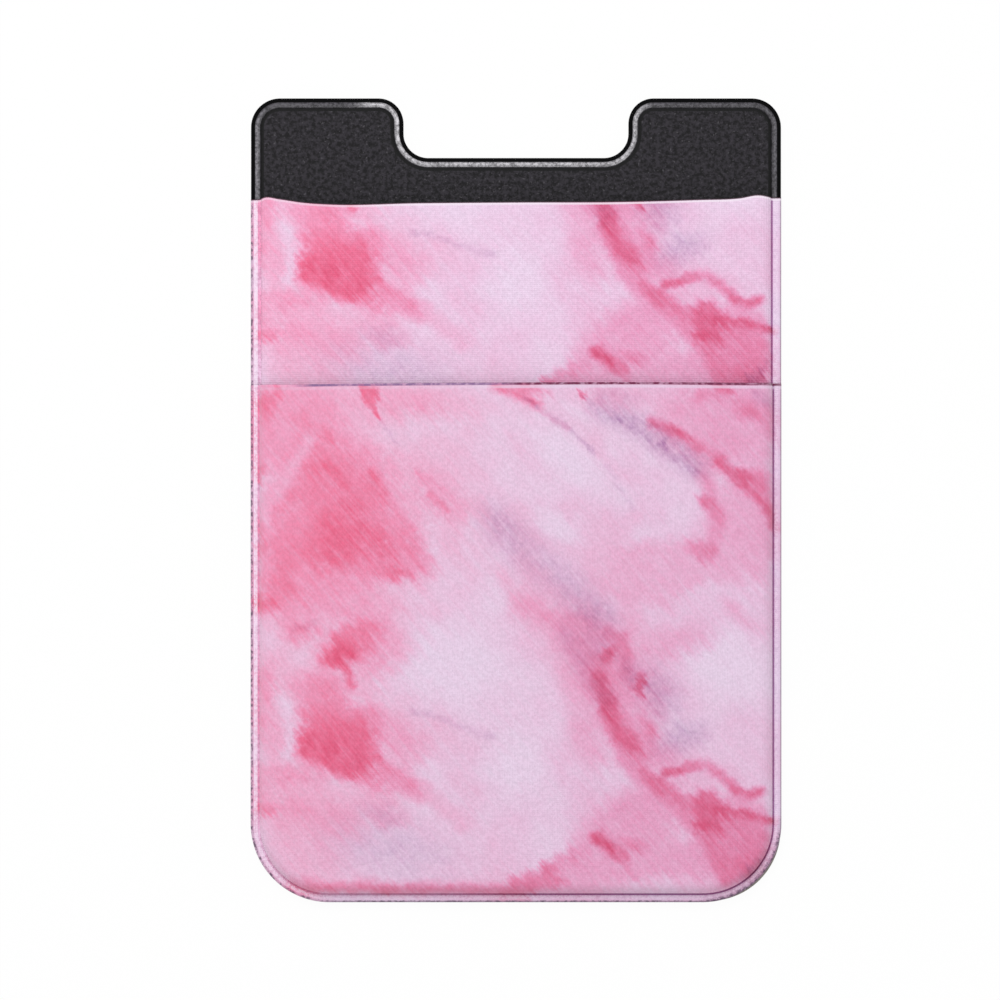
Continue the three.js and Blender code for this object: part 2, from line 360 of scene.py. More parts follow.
# Soft oval washes, in the order they are laid down: middle, half length, half width,
# direction in degrees, level, share of the level below that they cover, and softness.
WASHES = [
    # bare and nearly bare ground
    (6.0, 5.5, 10.0, 3.8, 140, 0.0, 0.9, 0.8),
    (5.0, -3.4, 5.0, 2.4, 150, 0.03, 0.9, 0.8),
    (-7.5, -20.0, 11.0, 7.0, 165, 0.02, 1.0, 0.7),
    (-1.0, -26.0, 7.0, 6.0, 120, 0.12, 0.9, 0.8),
    (0.5, -32.0, 7.0, 6.0, 90, 0.0, 0.9, 0.8),
    (25.5, -20.0, 10.0, 7.0, 150, 0.02, 1.0, 0.7),
    # the field at the top left, and the faint one beside it
    (-27.5, 9.0, 12.0, 9.0, 0, 0.62, 1.0, 0.6),
    (-13.0, 11.8, 13.0, 4.0, 0, 0.56, 0.9, 0.9),
    (-16.5, 7.0, 5.5, 2.2, 165, 0.2, 0.8, 0.9),
    (-10.0, 1.0, 8.0, 4.8, 130, 0.54, 1.0, 0.9),
    (-8.0, -5.0, 4.5, 3.0, 120, 0.36, 0.9, 0.9),
    (-4.6, -1.0, 4.0, 2.0, 130, 0.46, 0.8, 1.0),
    (-1.6, -9.4, 4.0, 1.8, 125, 0.44, 0.8, 1.0),
    # the big blotch under it
    (-22.5, -11.5, 12.0, 5.5, 0, 0.58, 1.0, 0.7),
    (-22.0, -1.5, 13.0, 9.5, 62, 0.72, 1.0, 0.5),
    (-20.5, -5.2, 11.0, 4.2, 178, 0.84, 1.0, 0.6),
    (-13.2, -3.4, 6.4, 3.8, 112, 0.8, 0.9, 1.0),
    (-15.5, -8.4, 6.5, 2.2, 0, 0.84, 0.9, 1.0),
    (-12.0, -7.4, 4.6, 3.4, 120, 0.76, 0.9, 1.0),
    (-15.0, -13.0, 4.5, 2.2, 170, 0.5, 0.8, 1.0),
    (-28.6, -9.5, 8.0, 5.0, 90, 0.88, 0.9, 1.0),
    (-28.5, 0.0, 5.5, 2.8, 60, 0.78, 0.9, 1.0),
    (-25.8, -15.8, 4.4, 3.0, 10, 0.84, 0.9, 1.0),
    (-23.7, 3.5, 6.5, 3.8, 110, 0.8, 1.0, 0.7),
    (-18.5, 0.3, 6.5, 3.6, 126, 0.82, 1.0, 0.7),
    (-21.3, -3.5, 6.0, 3.4, 138, 1.02, 1.0, 0.9),
    (-22.3, -5.8, 4.5, 2.2, 172, 1.04, 0.8, 0.9),
    (-17.0, -4.8, 4.5, 2.2, 128, 0.98, 0.8, 0.9),
    (-27.0, 8.3, 2.8, 1.6, 20, 0.55, 0.8, 0.9),
    # down the left side
    (-29.0, -19.0, 4.6, 2.6, 170, 0.38, 1.0, 0.8),
    (-16.5, -18.5, 8.0, 4.8, 40, 0.56, 1.0, 0.9),
    (-19.8, -17.2, 6.6, 3.2, 33, 0.84, 1.0, 0.6),
    (-23.5, -22.6, 6.0, 3.2, 172, 0.68, 1.0, 0.7),
    (-30.0, -22.0, 3.4, 2.4, 90, 0.64, 1.0, 0.8),
    (-28.9, -28.0, 5.8, 2.0, 92, 0.48, 1.0, 0.8),
    (-30.6, -26.5, 7.0, 2.2, 90, 0.66, 0.9, 1.0),
    (-14.5, -28.3, 6.5, 5.0, 150, 0.56, 1.0, 0.9),
    (-17.2, -26.0, 5.0, 2.6, 105, 0.74, 0.9, 1.0),
    (-17.4, -33.4, 6.4, 3.0, 155, 0.84, 0.9, 1.0),
    (-22.0, -26.8, 6.0, 4.2, 165, 0.8, 1.0, 0.5),
    (-21.4, -29.8, 6.4, 4.6, 168, 1.0, 1.0, 0.5),
    (-24.0, -38.0, 11.0, 5.0, 168, 0.52, 1.0, 0.7),
    (-27.0, -33.2, 8.0, 3.0, 176, 0.7, 0.9, 1.0),
    (-30.5, -35.0, 5.0, 2.0, 90, 0.6, 0.9, 1.0),
    (-25.0, -42.5, 7.0, 5.0, 140, 0.44, 0.9, 0.8),
    (-13.3, -42.3, 10.0, 5.2, 168, 0.13, 1.0, 0.8),
    (-16.0, -37.2, 5.0, 2.2, 165, 0.48, 0.9, 0.8),
    # the right side, from the top down
    (25.0, 9.5, 10.5, 8.0, 0, 0.52, 1.0, 0.5),
    (28.0, -3.0, 10.0, 6.5, 90, 0.48, 1.0, 0.5),
    (18.0, -8.7, 12.0, 5.4, 2, 0.42, 1.0, 0.45),
    (12.6, 0.4, 4.6, 3.4, 0, 0.04, 0.8, 1.0),
    (11.0, 12.4, 7.0, 2.8, 172, 0.5, 0.9, 1.0),
    (2.6, -9.6, 6.4, 3.0, 132, 0.42, 0.8, 1.0),
    (8.5, -7.0, 5.0, 3.4, 160, 0.34, 0.8, 0.9),
    (22.5, -11.6, 5.5, 2.2, 12, 0.18, 0.9, 0.8),
    (26.5, -13.6, 4.0, 1.4, 130, 0.46, 0.8, 0.9),
    (18.8, -17.0, 7.5, 3.4, 15, 0.46, 1.0, 0.8),
    (13.2, -21.5, 11.5, 5.2, 116, 0.6, 0.9, 0.9),
    (7.6, -22.4, 8.0, 3.2, 118, 0.56, 0.9, 1.0),
    (14.0, -15.0, 4.5, 2.6, 120, 0.54, 0.8, 1.0),
    (17.4, -31.0, 5.5, 3.2, 150, 0.62, 0.9, 1.0),
    (24.5, -33.2, 6.5, 2.4, 165, 0.46, 0.8, 1.0),
    (27.0, -29.0, 7.0, 5.0, 0, 0.2, 0.9, 0.8),
    (6.8, -17.0, 8.5, 4.2, 124, 0.54, 1.0, 0.9),
    (8.5, -14.0, 6.5, 3.6, 145, 0.5, 0.9, 0.8),
    (8.4, -28.5, 8.0, 3.6, 116, 0.5, 0.9, 0.9),
    (4.6, -36.5, 5.0, 4.0, 110, 0.06, 0.8, 1.0),
    (13.5, -39.8, 11.0, 6.4, 38, 0.54, 1.0, 0.5),
    (17.0, -45.5, 18.0, 5.5, 5, 0.52, 1.0, 0.3),
    (17.5, -47.0, 10.5, 3.0, 2, 0.22, 1.0, 0.9),
    (0.5, -46.9, 5.5, 2.6, 28, 0.86, 1.0, 0.7),
    (6.0, -43.2, 4.4, 2.0, 32, 0.7, 0.9, 1.0),
    (27.5, -41.0, 6.5, 5.4, 110, 0.78, 1.0, 0.6),
    (27.0, -36.5, 4.5, 1.6, 170, 0.6, 0.9, 0.8),
    (22.0, -34.4, 3.2, 1.5, 165, 0.36, 1.0, 0.7),
    (23.0, -37.4, 3.8, 3.0, 120, 1.0, 1.0, 0.5),
    (27.5, -43.8, 4.0, 2.6, 45, 0.92, 0.9, 0.9),
]

# Veins, each with a level, a share, a half width and the points it runs through.
VEINS = [
    # the light streak beside the big blotch, and the fine dashes right of it
    (0.48, 0.9, 1.6, [(-31.5, -3.5), (-27.0, 3.6), (-24.6, 7.4)]),
    (0.68, 0.8, 0.7, [(-11.8, 3.5), (-9.0, 1.3)]),
    (0.84, 0.9, 0.8, [(-10.3, 0.4), (-8.4, -1.2)]),
    (0.96, 0.7, 1.0, [(-22.6, 4.2), (-18.4, -0.6)]),
    (0.94, 0.7, 0.9, [(-17.2, 3.4), (-16.0, 0.8)]),
    (1.05, 0.7, 1.0, [(-21.0, 0.0), (-16.6, -5.0)]),
    # the coral streak, the mouth's dots and the vein on the right
    (0.84, 1.0, 1.2, [(-2.6, 13.8), (2.6, 11.4)]),
    (0.42, 0.9, 0.7, [(2.5, 11.2), (6.0, 8.6)]),
    (0.86, 1.0, 1.3, [(16.4, 9.2), (20.2, 7.7), (21.8, 6.4)]),
    (0.76, 1.0, 1.2, [(21.5, 6.7), (24.9, 4.8)]),
    (0.98, 1.0, 1.3, [(24.1, 4.7), (27.2, 2.2), (28.9, 0.7), (30.4, -1.4), (31.2, -3.4)]),
    (0.66, 0.9, 1.8, [(22.6, 3.0), (23.4, 0.2), (24.0, -3.6), (23.0, -6.6)]),
    # the long vein down the middle
    (0.62, 0.9, 3.0, [(0.8, -12.2), (6.4, -15.6), (8.8, -18.8), (10.2, -22.4)]),
    (0.8, 0.9, 1.8, [(10.8, -16.0), (12.6, -16.6), (13.3, -18.6), (12.8, -20.8)]),
    (0.78, 1.0, 3.2, [(9.8, -20.0), (11.8, -26.2), (14.6, -30.8)]),
    (1.06, 0.8, 1.6, [(9.8, -21.4), (12.2, -28.4)]),
    (0.7, 1.0, 1.9, [(13.0, -30.8), (20.2, -37.8), (22.6, -41.0), (25.2, -45.4)]),
    (0.94, 0.9, 1.2, [(15.4, -32.4), (20.0, -36.4)]),
    # the arcs over the lower right blotch
    (0.98, 1.0, 1.1, [(18.0, -32.9), (19.6, -32.7), (20.8, -32.3)]),
    (0.8, 1.0, 1.1, [(20.6, -32.2), (22.6, -31.9), (24.5, -33.0), (26.2, -34.6)]),
    (0.94, 1.0, 1.2, [(26.2, -34.9), (27.8, -35.5), (29.3, -35.0)]),
    (1.04, 1.0, 1.0, [(26.6, -37.7), (28.5, -38.0), (31.2, -38.5)]),
    (0.9, 1.0, 1.8, [(23.2, -39.0), (24.0, -42.0), (25.4, -45.0)]),
    # the blotch at the lower left, with its spur and tail
    (0.72, 1.0, 2.2, [(-17.0, -31.6), (-11.4, -35.2)]),
    (0.42, 0.8, 2.0, [(-11.0, -35.0), (-6.4, -38.6)]),
    (0.92, 1.0, 1.1, [(-20.6, -19.8), (-19.6, -21.9)]),
    # along the bottom; the first vein is partly print and partly painted shade along the bottom edge
    (0.84, 0.9, 1.7, [(-27.0, -46.6), (-2.0, -46.9)]),
    (1.2, 1.0, 1.4, [(9.6, -40.4), (12.5, -42.4)]),
    (0.74, 0.8, 1.0, [(12.4, -42.4), (14.2, -45.2)]),
]

# Small strong spots, written as the washes are.
SPOTS = [
    (-30.2, 11.3, 3.0, 1.9, 100, 0.92, 1.0, 0.9),
    (-28.6, 13.0, 1.3, 0.8, 90, 0.82, 0.9, 0.8),
    (-25.6, 9.3, 2.6, 1.6, 150, 0.76, 0.9, 0.9),
    (-17.6, 12.8, 2.0, 1.5, 100, 0.98, 1.0, 0.6),
    (-17.2, 11.2, 1.4, 0.9, 110, 0.94, 1.0, 0.7),
    (-24.4, 3.9, 1.8, 1.2, 0, 0.9, 0.9, 0.9),
    (-22.7, 7.6, 1.8, 1.0, 105, 0.84, 0.9, 0.8),
    (-30.7, 3.2, 2.2, 1.1, 90, 0.8, 0.9, 0.8),
    (-30.6, -5.0, 3.6, 1.2, 90, 0.8, 0.9, 0.8),
    (-30.2, -12.6, 2.6, 2.0, 0, 1.1, 1.0, 1.0),
    (-14.4, -8.6, 4.0, 1.2, 174, 0.92, 0.9, 1.0),
    (-7.0, -1.0, 2.6, 2.2, 120, 0.52, 0.8, 0.9),
    (-21.3, -18.3, 3.2, 1.9, 40, 1.14, 1.0, 0.8),
    (-25.4, -29.2, 2.8, 1.8, 95, 1.16, 1.0, 0.9),
    (-21.8, -29.5, 3.2, 2.0, 15, 1.12, 1.0, 0.9),
    (-18.9, -31.7, 3.2, 2.2, 25, 1.12, 1.0, 0.8),
    (-18.6, -27.4, 3.2, 1.7, 115, 1.0, 0.9, 0.9),
    (-16.4, -28.8, 2.6, 1.6, 112, 0.92, 0.9, 1.0),
    (-30.3, -37.2, 1.9, 1.4, 0, 0.86, 0.9, 0.9),
    (-27.0, -37.0, 4.0, 1.5, 170, 0.62, 0.9, 0.9),
    (-15.3, -46.8, 3.0, 0.9, 0, 0.82, 1.0, 0.8),
    (1.2, 13.3, 4.0, 1.3, 172, 0.7, 1.0, 0.8),
    (7.9, 12.9, 1.0, 0.7, 110, 0.84, 1.0, 0.8),
    (19.3, 8.0, 2.4, 1.1, 160, 1.02, 1.0, 0.9),
    (28.6, 2.2, 3.4, 2.2, 0, 0.84, 1.0, 0.8),
    (27.3, 2.6, 2.0, 1.4, 140, 1.04, 1.0, 0.9),
    (27.8, 11.0, 3.6, 2.0, 155, 0.78, 1.0, 0.9),
    (25.0, 13.1, 1.5, 1.2, 0, 0.94, 1.0, 0.8),
    (22.2, 12.6, 2.8, 1.2, 0, 0.7, 0.9, 0.9),
    (30.6, 9.6, 3.2, 1.6, 90, 0.72, 0.9, 0.9),
    (22.8, -0.4, 2.0, 1.3, 150, 0.84, 1.0, 0.8),
    (23.8, -1.6, 1.6, 1.3, 90, 0.76, 0.9, 0.9),
    (22.3, -6.2, 2.8, 1.9, 150, 0.74, 1.0, 0.8),
    (11.3, -18.6, 1.9, 1.3, 60, 1.06, 1.0, 0.9),
    (10.9, -25.0, 2.2, 1.3, 110, 1.14, 0.9, 1.0),
    (13.6, -29.2, 2.8, 2.0, 140, 1.06, 1.0, 0.9),
    (15.8, -27.6, 3.0, 1.8, 120, 0.78, 0.9, 1.0),
    (14.9, -22.0, 2.3, 1.3, 62, 1.06, 1.0, 0.9),
    (8.4, -15.4, 3.6, 2.0, 140, 0.72, 0.8, 1.0),
    (17.3, -34.3, 1.8, 1.2, 140, 0.96, 0.9, 0.9),
    (24.7, -37.6, 1.9, 1.5, 60, 1.18, 1.0, 0.9),
    (22.3, -38.6, 1.9, 1.2, 30, 1.12, 1.0, 0.9),
    (13.9, -41.4, 2.6, 1.6, 0, 0.82, 0.8, 0.9),
    (3.6, -44.6, 2.2, 1.7, 60, 0.84, 1.0, 0.8),
    (4.8, -46.2, 2.4, 1.5, 0, 0.88, 0.9, 0.9),
    (28.9, -44.2, 3.2, 1.8, 45, 0.95, 0.9, 0.9),
]

GREY_WASHES = [
    (-1.4, -3.4, 6.0, 3.8, 130, 0.38, 1.0, 1.0),
    (9.5, -13.4, 4.4, 2.8, 150, 0.4, 1.0, 1.0),
    (6.0, -9.8, 3.0, 2.2, 140, 0.3, 1.0, 1.0),
    (18.0, 6.8, 6.0, 2.4, 142, 0.32, 1.0, 1.0),
    (14.0, 9.3, 3.4, 1.2, 150, 0.42, 1.0, 1.0),
    (17.6, 6.6, 1.4, 1.0, 140, 0.66, 1.0, 1.0),
    (20.2, 5.6, 1.6, 1.0, 130, 0.5, 1.0, 1.0),
    (12.5, 12.3, 4.4, 1.6, 172, 0.2, 1.0, 1.0),
    (29.8, 12.3, 3.2, 1.6, 150, 0.3, 1.0, 1.0),
    (17.0, -23.0, 6.0, 4.0, 120, 0.36, 1.0, 1.0),
    (13.6, -20.6, 3.0, 1.8, 110, 0.34, 1.0, 1.0),
    (20.0, -28.6, 5.4, 3.2, 20, 0.4, 1.0, 1.0),
    (-15.0, -42.0, 13.0, 6.0, 168, 0.24, 1.0, 1.0),
    (-16.0, -37.6, 4.4, 2.2, 170, 0.26, 1.0, 1.0),
    (-25.5, -15.2, 2.6, 0.8, 25, 0.2, 1.0, 1.0),
    (5.0, 9.4, 1.6, 1.0, 140, 0.28, 1.0, 1.0),
    (29.0, -44.4, 3.4, 1.6, 45, 0.5, 1.0, 1.0),
]
GREY_VEINS = [
    (0.24, 1.0, 4.2, [(1.0, -6.0), (7.0, -11.0), (9.6, -13.6), (10.0, -17.6)]),
    (0.22, 1.0, 2.4, [(6.0, -16.0), (10.6, -24.0)]),
    (0.34, 1.0, 2.6, [(10.0, 11.4), (16.6, 7.4), (21.6, 3.8)]),
    (0.55, 1.0, 0.9, [(11.6, 10.2), (15.6, 7.6), (21.6, 3.3)]),
    (0.45, 1.0, 0.6, [(14.2, 9.7), (16.4, 8.1), (18.4, 7.4)]),
    (0.34, 1.0, 0.5, [(1.0, 12.2), (5.0, 9.5), (9.4, 5.8)]),
    (0.36, 1.0, 0.5, [(8.2, 12.5), (9.6, 11.2)]),
    (0.14, 1.0, 0.6, [(10.8, 4.2), (12.3, 1.6), (14.2, -1.0)]),
    (0.2, 1.0, 0.4, [(-16.4, 9.8), (-14.9, 7.9), (-14.0, 6.6)]),
    (0.22, 1.0, 0.8, [(-12.4, -25.3), (-8.0, -26.8), (-2.6, -28.6)]),
]


def vector(tree, operation, a, b, output=0):
    return add(tree, "ShaderNodeVectorMath", {0: a, 1: b}, operation=operation).outputs[output]


def scaled(tree, direction, amount):
    return add(tree, "ShaderNodeVectorMath", {0: direction, 3: amount}, operation="SCALE").outputs[0]


def node_group(name, inputs, output, build):
    """A group of nodes with named inputs, and one output that the build function makes."""
    tree = bpy.data.node_groups.new(name, "ShaderNodeTree")
    for label, kind in inputs.items():
        tree.interface.new_socket(label, in_out="INPUT", socket_type="NodeSocket" + kind)
    tree.interface.new_socket("Result", in_out="OUTPUT", socket_type="NodeSocket" + output)
    made = build(tree, add(tree, "NodeGroupInput").outputs)
    tree.links.new(made, add(tree, "NodeGroupOutput").inputs[0])
    return tree


def use(tree, group, inputs):
    return add(tree, "ShaderNodeGroup", inputs, node_tree=group).outputs[0]


def cover(tree, level, ink, share):
    """An ink's level after a share of it is covered by a new level."""
    return add(tree, "ShaderNodeMix", {0: share, 2: level, 3: ink}, data_type="FLOAT").outputs[0]


def oval(tree, given):
    """A soft oval laid over an ink's level."""
    inputs = {0: given["Spot"], 1: given["Middle"], 2: given["Turn"], 3: given["Reach"]}
    local = add(tree, "ShaderNodeMapping", inputs, vector_type="TEXTURE").outputs[0]
    near = add(tree, "ShaderNodeTexGradient", {0: local}, gradient_type="SPHERICAL").outputs[1]
    share = ramp(tree, near, 0.0, given["Softness"], 0.0, given["Share"])
    return cover(tree, given["Level"], given["Ink"], share)


def stroke(tree, given):
    """The distance to a straight stroke, or to the strokes before it where that is less."""
    from_start = vector(tree, "SUBTRACT", given["Spot"], given["Start"])
    along = vector(tree, "DOT_PRODUCT", from_start, given["Rate"], 1)
    held = add(tree, "ShaderNodeClamp", {0: along}).outputs[0]
    away = vector(tree, "DISTANCE", from_start, scaled(tree, given["Run"], held), 1)
    return calc(tree, "MINIMUM", away, given["Gap"])


def lay_washes(tree, group, spot, level, washes):
    """Lays soft ovals over an ink's level."""
    for x, y, length, width, turn, ink, share, softness in washes:
        level = use(tree, group, {
            "Spot": spot, "Level": level, "Middle": (x, y, 0), "Turn": (0, 0, math.radians(turn)),
            "Reach": (length, width, 1), "Ink": ink, "Share": share, "Softness": softness,
        })
    return level


def lay_veins(tree, group, spot, level, veins):
    """Lays veins over an ink's level, each a chain of round-ended strokes."""
    for ink, share, width, points in veins:
        gap = width
        for (x, y), (end_x, end_y) in zip(points, points[1:]):
            run = Vector((end_x - x, end_y - y, 0))
            rate = run / run.length_squared
            gap = use(tree, group, {
                "Spot": spot, "Start": (x, y, 0), "Run": run, "Rate": rate, "Gap": gap,
            })
        level = cover(tree, level, ink, ramp(tree, gap, 0.0, width, share, 0.0))
    return level


def wandered(tree, spot, wander, reach):
    """A place moved by a coloured noise, by up to half its reach each way."""
    centred = vector(tree, "SUBTRACT", wander, (0.5, 0.5, 0.5))
    return vector(tree, "ADD", spot, scaled(tree, centred, reach))


def streaks(tree, flat, size):
    """Noise drawn out along the direction in which the inks have run, -0.5 to 0.5."""
    inputs = {0: flat, 2: (0, 0, math.radians(STREAK_TURN)), 3: size}
    along = add(tree, "ShaderNodeMapping", inputs, vector_type="TEXTURE").outputs[0]
    return calc(tree, "SUBTRACT", noise(tree, along, 1.0, 2.0, 0.6)[0], 0.5)


def marble(tree, given):
    """The print's colour at a place on the front pocket, in millimetres."""
    ovals = node_group("wash", {
        "Spot": "Vector", "Level": "Float", "Middle": "Vector", "Turn": "Vector",
        "Reach": "Vector", "Ink": "Float", "Share": "Float", "Softness": "Float",
    }, "Float", oval)
    strokes = node_group("stroke", {
        "Spot": "Vector", "Start": "Vector", "Run": "Vector", "Rate": "Vector", "Gap": "Float",
    }, "Float", stroke)
    flat = vector(tree, "MULTIPLY", given["Place"], (1, 1, 0))
    turn = math.radians(STREAK_TURN)
    streak = streaks(tree, flat, STREAK_SIZE)
    hair = streaks(tree, flat, HAIR_SIZE)
    line = flat
    for scale, detail, roughness, reach in WANDERS:
        line = wandered(tree, line, noise(tree, flat, scale, detail, roughness)[1], reach)
    smear = (STREAK_REACH * math.cos(turn), STREAK_REACH * math.sin(turn), 0)
    spot = vector(tree, "ADD", line, scaled(tree, smear, streak))
    pink = ramp(tree, noise(tree, flat, 0.12, 2.0)[0], 0.3, 0.7, 0.1, 0.32)
    pink = lay_washes(tree, ovals, spot, pink, WASHES)
    pink = lay_veins(tree, strokes, line, pink, VEINS)
    pink = lay_washes(tree, ovals, spot, pink, SPOTS)
    grain = calc(tree, "SUBTRACT", noise(tree, flat, 0.6, 5.0, 0.65)[0], 0.5)
    drawn = calc(tree, "ADD", calc(tree, "MULTIPLY", streak, 0.7), hair)
    uneven = calc(tree, "MULTIPLY", calc(tree, "ADD", grain, drawn), calc(tree, "ADD", pink, 0.3))
    pink = calc(tree, "ADD", pink, calc(tree, "MULTIPLY", uneven, 0.36))
    colours = add(tree, "ShaderNodeValToRGB", {0: calc(tree, "DIVIDE", pink, PINKS[-1][0])})
    stops = colours.color_ramp.elements
    for level, colour in PINKS[1:-1]:
        stops.new(level / PINKS[-1][0]).color = colour
    stops[0].color = PINKS[0][1]
    stops[len(stops) - 1].color = PINKS[-1][1]
    grey = lay_veins(tree, strokes, line, 0.0, GREY_VEINS)
    grey = lay_washes(tree, ovals, spot, grey, GREY_WASHES)
    fleck = ramp(tree, noise(tree, flat, 1.1, 3.0, 0.7)[0], 0.3, 0.7, 0.6, 1.4)
    fleck = calc(tree, "ADD", fleck, calc(tree, "MULTIPLY", hair, 1.6))
    grey = calc(tree, "MULTIPLY", grey, fleck, clamp=True)
    colour = blend(tree, grey, colours.outputs[0], GREY_INK, "MULTIPLY")
    toward = ramp(tree, vector(tree, "DOT_PRODUCT", flat, COOLER, 1), -1.0, 1.0)
    return blend(tree, calc(tree, "MULTIPLY", toward, pink), colour, COOL_PINK, "MULTIPLY")


def knit(tree, place):
    """The height of the fabric's fine knit, wales along Y and courses along X."""
    split = add(tree, "ShaderNodeSeparateXYZ", {0: place}).outputs
    wale = calc(tree, "SINE", calc(tree, "MULTIPLY", split[0], 2 * math.pi / WALE))
    course = calc(tree, "SINE", calc(tree, "MULTIPLY", split[1], 2 * math.pi / COURSE))
    return calc(tree, "ADD", wale, calc(tree, "MULTIPLY", course, COURSE_SHARE))


def tint(tree, colour, amounts, ink, mode="MIX"):
    """Blends an ink over a colour by the product of some amounts."""
    share = amounts[0]
    for amount in amounts[1:]:
        share = calc(tree, "MULTIPLY", share, amount)
    return blend(tree, share, colour, ink, mode)


def rim_colour(tree, colour, place, split, rim):
    """The pressed rim: a speckled white crest on the left, brightened there as painted highlight, a
    smooth lilac one elsewhere, and painted shade in the crease.
    """
    across, up = split[0], split[1]
    inset = attribute(tree, "inset")

    # how far a place belongs to the left side, which is painted as the lit side, the rest, the bottom and
    # the lower right corner
    left = ramp(tree, across, -26.0, -20.0, 1.0, 0.0)
    right = calc(tree, "SUBTRACT", 1.0, left)
    low = ramp(tree, up, -44.0, -36.0, 1.0, 0.0)
    corner = ramp(tree, calc(tree, "SUBTRACT", across, up), 69.5, 73.0)

    # specks of the whitened weld, the gaps between them and the shares of both; the left crest's painted
    # highlight fades towards the bottom, and the painted crease shade deepens towards the right
    speckle = ramp(tree, noise(tree, place, 2.6, 2.0, 0.7)[0], 0.38, 0.56)
    gaps = calc(tree, "SUBTRACT", 1.0, speckle)
    dashes = calc(tree, "ADD", calc(tree, "MULTIPLY", gaps, 0.6), 0.3)
    brightness_share = ramp(tree, up, -42.0, -34.0, 0.1, 0.45)
    dots = calc(tree, "ADD", calc(tree, "MULTIPLY", speckle, 0.5), brightness_share)
    crease_shade_depth = ramp(tree, across, -24.0, 12.0, 0.35, 1.0)

    # bands by their distance from the edge
    flank = band(tree, inset, 0.25, rim - 0.25, 0.12)
    ridge = band(tree, inset, 0.5, 0.9, 0.12)
    foot = band(tree, inset, rim - 0.2, rim - 0.04, 0.06)
    crest = band(tree, inset, 0.45, 0.78, 0.1)
    faint_crease_band = band(tree, inset, 0.9, rim + 0.1, 0.12)
    outer = ramp(tree, inset, 0.22, 0.36, 1.0, 0.0)
    hairline = ramp(tree, inset, 0.1, 0.24, 0.7, 0.0)
    low_line = ramp(tree, inset, 0.16, 0.32, 1.0, 0.0)
    corner_line = ramp(tree, inset, 0.3, 0.6, 0.8, 0.0)

    colour = tint(tree, colour, [right, flank, 0.45], WELD_LILAC)
    colour = tint(tree, colour, [right, ridge, speckle, 0.4], WELD_WHITE)
    # painted shade in the crease at the rim's foot, deeper towards the right
    colour = tint(tree, colour, [right, foot, crease_shade_depth], CREASE_SHADE, "MULTIPLY")
    # the left crest: the weld's own white, brightened as painted highlight from the lamp on the left,
    # less towards the bottom
    colour = tint(tree, colour, [left, crest, dots], WELD_WHITE)
    colour = tint(tree, colour, [left, outer, dashes], WELD_DARK)
    # faint painted shade in the left side's crease
    colour = tint(tree, colour, [left, faint_crease_band, gaps, 0.5], FAINT_CREASE_SHADE)
    colour = tint(tree, colour, [right, hairline], WELD_GREY)
    colour = tint(tree, colour, [right, low, low_line, dashes], WELD_DARK)
    return tint(tree, colour, [corner, corner_line, dashes], WELD_DARK)


def rear_edge(tree, colour, place):
    """The rear pocket's cut mouth: a white core, with a dark line of painted contact shadow along its
    edge.
    """
    mouth = attribute(tree, "mouth")
    across = add(tree, "ShaderNodeSeparateXYZ", {0: place}).outputs[0]
    core = ramp(tree, across, -26.0, -10.0, 0.4, 0.75)
    colour = tint(tree, colour, [band(tree, mouth, 0.16, 0.32, 0.1), core], CUT_WHITE)
    # painted contact shadow along the very edge of the mouth
    return tint(tree, colour, [ramp(tree, mouth, 0.08, 0.16, 0.95, 0.0)], MOUTH_SHADOW_BLACK)


def front_edge(tree, colour, place):
    """The front pocket's cut mouth: a dark line of painted contact shadow over a paler band, which is
    partly the cut's pale core and partly painted highlight.
    """
    mouth = attribute(tree, "mouth")
    across = add(tree, "ShaderNodeSeparateXYZ", {0: place}).outputs[0]
    patchy = ramp(tree, noise(tree, place, 1.3, 2.0, 0.6)[0], 0.3, 0.6, 0.5, 1.0)
    pale = ramp(tree, across, -8.0, 0.0, 0.2, 0.6)
    # the pale band: partly the cut's own pale core, partly painted highlight on the edge
    colour = tint(tree, colour, [band(tree, mouth, 0.4, 0.62, 0.12), pale], CUT_PALE_AND_LIT)
    # painted contact shadow at the mouth, mauve on the left and maroon on the right, patchy and absent at
    # the far left
    shadow_line = blend(tree, ramp(tree, across, -3.0, 1.0), MOUTH_SHADOW_MAUVE, MOUTH_SHADOW_MAROON)
    reach = band(tree, across, -24.0, 30.6, 4.0)
    return tint(tree, colour, [ramp(tree, mouth, 0.24, 0.34, 1.0, 0.0), reach, patchy], shadow_line)


def print_material(name, print_group, repeats, painted_brightness, rim, edge):
    """The printed stretch fabric, its print moved up the cloth by a number of repeats and made lighter or
    darker by a painted brightness.
    """
    material, tree, shader, place = new_material(name)
    split = add(tree, "ShaderNodeSeparateXYZ", {0: place}).outputs
    lean = scaled(tree, (0, REPEAT_LEAN * repeats, 0), split[0])
    moved = vector(tree, "SUBTRACT", vector(tree, "SUBTRACT", place, lean), (0, REPEAT * repeats, 0))
    colour = use(tree, print_group, {"Place": moved})
    heather = noise(tree, place, 2.6, 3.0, 0.7)[0]
    colour = blend(tree, 1.0, colour, ramp(tree, heather, 0.3, 0.7, painted_brightness - 0.07, painted_brightness + 0.07), "MULTIPLY")
    colour = rim_colour(tree, colour, place, split, rim)
    colour = edge(tree, colour, place)
    # the pocket's inside face is coloured plain dark, not printed
    inside = ramp(tree, attribute(tree, "mouth"), -0.02, 0.02, 1.0, 0.0)
    colour = blend(tree, inside, colour, INSIDE_DARK)
    tree.links.new(colour, shader.inputs["Base Color"])
    shader.inputs["Roughness"].default_value = 0.75
    shader.inputs["Specular IOR Level"].default_value = 0.3
    shader.inputs["Sheen Weight"].default_value = 0.15
    shader.inputs["Sheen Roughness"].default_value = 0.5
    threads = bump(tree, knit(tree, place), 0.012)
    tree.links.new(bump(tree, heather, 0.05, normal=threads), shader.inputs["Normal"])
    return material


# The other materials


